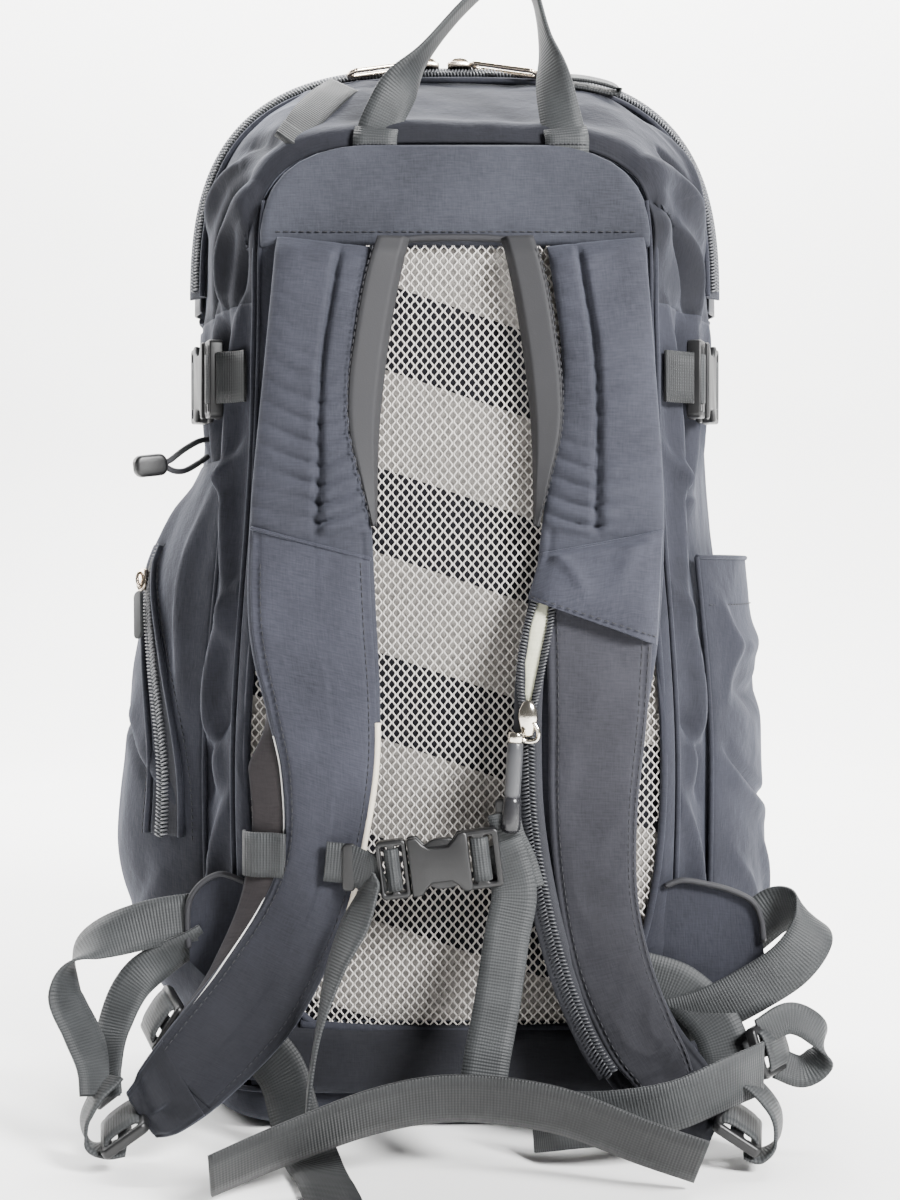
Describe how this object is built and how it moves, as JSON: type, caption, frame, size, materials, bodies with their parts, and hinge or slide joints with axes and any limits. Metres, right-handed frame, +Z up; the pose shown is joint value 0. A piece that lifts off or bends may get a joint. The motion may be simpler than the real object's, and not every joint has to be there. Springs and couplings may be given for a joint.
{
  "type": "ski backpack",
  "caption": "Panel-loading ski and day backpack standing on its base, with padded shoulder straps, a chest buckle, mesh back panel, side pockets and a haul loop.",
  "frame": {"origin": "centre of the flat underside of the base", "axes": "+Z up along the back, -Y out of the back panel towards the wearer, +X to the right seen from the wearer's side"},
  "size_m": [0.3681, 0.3023, 0.5598],
  "materials": {
    "cloth": "dark slate nylon with a fine ribbed weave",
    "trim": "smooth grey-black binding",
    "mesh": "pale grey spacer mesh with open cells",
    "webbing": "ribbed grey-black webbing",
    "elastic": "braided elastic cord",
    "plastic": "satin moulded acetal",
    "steel": "warm satin nickel",
    "zip": "coil and tape",
    "sheet": "thin translucent polyethylene",
    "alloy": "flat bar"
  },
  "bodies": {
    "pack": {"base_pan": "cloth", "rear_wall": "cloth", "side_panel_left": "cloth", "side_panel_right": "cloth", "top_gusset": "cloth", "front_panel": "cloth", "pocket_left": "cloth", "pocket_right": "cloth", "wing_left": "cloth", "wing_right": "cloth", "lumbar_pad": "cloth", "yoke_panel": "cloth", "shoulder_strap_left": "cloth", "shoulder_strap_right": "cloth", "tube_sleeve": "cloth", "binding_left": "trim", "binding_right": "trim", "back_mesh": "mesh", "strap_webbing_left": "webbing", "strap_webbing_right": "webbing", "belt_webbing_left": "webbing", "belt_webbing_right": "webbing", "belt_band": "webbing", "end_tab": "webbing", "loop_tab": "webbing", "compression_webbing_left": "webbing", "compression_webbing_right": "webbing", "elastic_cord": "elastic", "compression_housing_left": "plastic", "compression_housing_right": "plastic", "cord_toggle": "plastic", "main_zip_track": "zip", "sleeve_zip_tape": "zip", "pocket_zip_tape": "zip", "frame_sheet": "sheet", "stay_frame": "alloy"},
    "opening_front": {"opening_front": "cloth"},
    "haul_loop": {"haul_loop": "webbing"},
    "main_slider_left": {"main_slider_left": "steel"},
    "main_slider_right": {"main_slider_right": "steel"},
    "wire_puller_left": {"wire_puller_left": "steel"},
    "wire_puller_right": {"wire_puller_right": "steel"},
    "sleeve_slider": {"sleeve_zip_slider": "steel"},
    "sleeve_puller": {"sleeve_zip_puller": "plastic"},
    "pocket_slider": {"pocket_zip_slider": "steel"},
    "pocket_puller": {"pocket_zip_puller": "webbing"},
    "sternum_strap": {"sternum_glider_left": "plastic", "sternum_glider_right": "plastic", "sternum_webbing_left": "webbing", "sternum_webbing_right": "webbing", "sternum_housing": "plastic"},
    "sternum_plug": {"sternum_plug": "plastic"},
    "sternum_prong_upper": {"sternum_prong_upper": "plastic"},
    "sternum_prong_lower": {"sternum_prong_lower": "plastic"},
    "compression_plug_left": {"compression_plug_left": "plastic"},
    "compression_plug_right": {"compression_plug_right": "plastic"},
    "strap_lock_left": {"strap_lock_left": "plastic"},
    "strap_lock_right": {"strap_lock_right": "plastic"},
    "belt_lock_left": {"belt_lock_left": "plastic"},
    "belt_lock_right": {"belt_lock_right": "plastic"}
  },
  "joints": [
    {"name": "opening_front_fold", "type": "hinge", "parent": "pack", "child": "opening_front", "pos_m": [0, 0.098, 0.4], "axis": [-1, 0, 0], "range_deg": [0, 110]},
    {"name": "haul_loop_fold", "type": "hinge", "parent": "pack", "child": "haul_loop", "pos_m": [0, -0.0966, 0.4745], "axis": [1, 0, 0], "range_deg": [-10, 85], "stiffness_Nm_per_rad": 0.02},
    {"name": "main_slider_left_travel", "type": "hinge", "parent": "pack", "child": "main_slider_left", "pos_m": [0, -0.013, 0.175], "axis": [0, 1, 0], "range_deg": [-12, 0]},
    {"name": "main_slider_right_travel", "type": "hinge", "parent": "pack", "child": "main_slider_right", "pos_m": [0, -0.013, 0.175], "axis": [0, 1, 0], "range_deg": [0, 12]},
    {"name": "wire_puller_left_swing", "type": "hinge", "parent": "main_slider_left", "child": "wire_puller_left", "pos_m": [-0.0219, -0.013, 0.53664], "axis": [0, 1, 0], "range_deg": [0, 100]},
    {"name": "wire_puller_right_swing", "type": "hinge", "parent": "main_slider_right", "child": "wire_puller_right", "pos_m": [0.0099, -0.013, 0.53664], "axis": [0, -1, 0], "range_deg": [0, 100]},
    {"name": "sleeve_slider_travel", "type": "slide", "parent": "pack", "child": "sleeve_slider", "axis": [0, 0, 1], "range_m": [0, 0.036]},
    {"name": "sleeve_puller_swing", "type": "hinge", "parent": "sleeve_slider", "child": "sleeve_puller", "pos_m": [0.026, -0.1285, 0.196], "axis": [-1, 0, 0], "range_deg": [0, 90]},
    {"name": "pocket_slider_travel", "type": "slide", "parent": "pack", "child": "pocket_slider", "axis": [0.0552, -0.3677, -0.9283], "range_m": [0, 0.06]},
    {"name": "pocket_puller_swing", "type": "hinge", "parent": "pocket_slider", "child": "pocket_puller", "pos_m": [-0.16555, -0.02616, 0.2599], "axis": [-0.6773, 0.6693, -0.3054], "range_deg": [0, 50]},
    {"name": "sternum_height", "type": "slide", "parent": "pack", "child": "sternum_strap", "axis": [0, 0, -1], "range_m": [0, 0.012]},
    {"name": "sternum_plug_slide", "type": "slide", "parent": "sternum_strap", "child": "sternum_plug", "axis": [-0.9925, 0, -0.1219], "range_m": [0, 0.026], "deforming": ["sternum_webbing_left"]},
    {"name": "sternum_prong_upper_press", "type": "hinge", "parent": "sternum_plug", "child": "sternum_prong_upper", "pos_m": [-0.02173, -0.1345, 0.14307], "axis": [0, 1, 0], "range_deg": [0, 8], "stiffness_Nm_per_rad": 0.05},
    {"name": "sternum_prong_lower_press", "type": "hinge", "parent": "sternum_plug", "child": "sternum_prong_lower", "pos_m": [-0.01988, -0.1345, 0.12798], "axis": [0, -1, 0], "range_deg": [0, 8], "stiffness_Nm_per_rad": 0.05},
    {"name": "compression_plug_left_slide", "type": "slide", "parent": "pack", "child": "compression_plug_left", "axis": [0.3409, -0.9401, 0], "range_m": [0, 0.02], "deforming": ["compression_webbing_left"]},
    {"name": "compression_plug_right_slide", "type": "slide", "parent": "pack", "child": "compression_plug_right", "axis": [-0.3409, -0.9401, 0], "range_m": [0, 0.02], "deforming": ["compression_webbing_right"]},
    {"name": "strap_lock_left_tilt", "type": "hinge", "parent": "pack", "child": "strap_lock_left", "pos_m": [-0.1423, -0.13998, 0.02414], "axis": [0.2013, -0.9726, -0.116], "range_deg": [0, 25]},
    {"name": "strap_lock_right_tilt", "type": "hinge", "parent": "pack", "child": "strap_lock_right", "pos_m": [0.12057, -0.13595, 0.02277], "axis": [0.1917, 0.9751, 0.1117], "range_deg": [0, 25]},
    {"name": "belt_lock_left_tilt", "type": "hinge", "parent": "pack", "child": "belt_lock_left", "pos_m": [-0.13273, -0.11095, 0.06843], "axis": [0.3465, -0.9327, -0.1], "range_deg": [-20, 0]},
    {"name": "belt_lock_right_tilt", "type": "hinge", "parent": "pack", "child": "belt_lock_right", "pos_m": [0.14538, -0.10991, 0.05542], "axis": [0.5201, 0.8529, -0.0451], "range_deg": [-20, 0]}
  ],
  "couplings": [
    {"joint": "sternum_prong_lower_press", "follows": "sternum_prong_upper_press", "ratio": 1}
  ]
}
